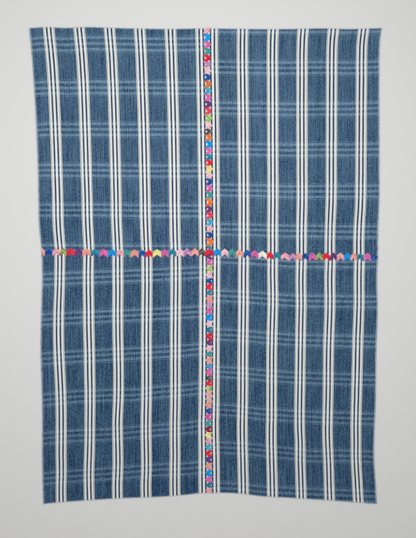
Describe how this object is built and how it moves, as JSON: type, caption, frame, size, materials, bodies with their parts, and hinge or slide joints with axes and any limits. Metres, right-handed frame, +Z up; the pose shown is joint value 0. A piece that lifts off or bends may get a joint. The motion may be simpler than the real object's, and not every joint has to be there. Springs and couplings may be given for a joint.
{
  "type": "embroidered joined cloth panel",
  "caption": "Hand-woven indigo cloth with white warp stripes, laid flat, its quarters joined edge to edge by bands of multicoloured embroidered chevrons.",
  "frame": {"origin": "on the surface that the cloth lies on, under the middle of its box", "axes": "+X towards the cloth's right selvedge, +Y towards its top hem, +Z up from the surface"},
  "size_m": [1.2, 1.6219, 0.006],
  "materials": {
    "indigo_cloth": "plain-woven cotton, indigo ground with white warp stripes and pale weft lines, matt",
    "embroidery_yarn": "satin-stitched cotton yarn in many colours, soft sheen"
  },
  "bodies": {
    "root": {"panel_upper_left": "indigo_cloth", "panel_upper_right": "indigo_cloth", "panel_lower_left": "indigo_cloth", "panel_lower_right": "indigo_cloth", "joining_band_upper": "embroidery_yarn", "joining_band_lower": "embroidery_yarn", "joining_band_cross": "embroidery_yarn"}
  },
  "joints": []
}
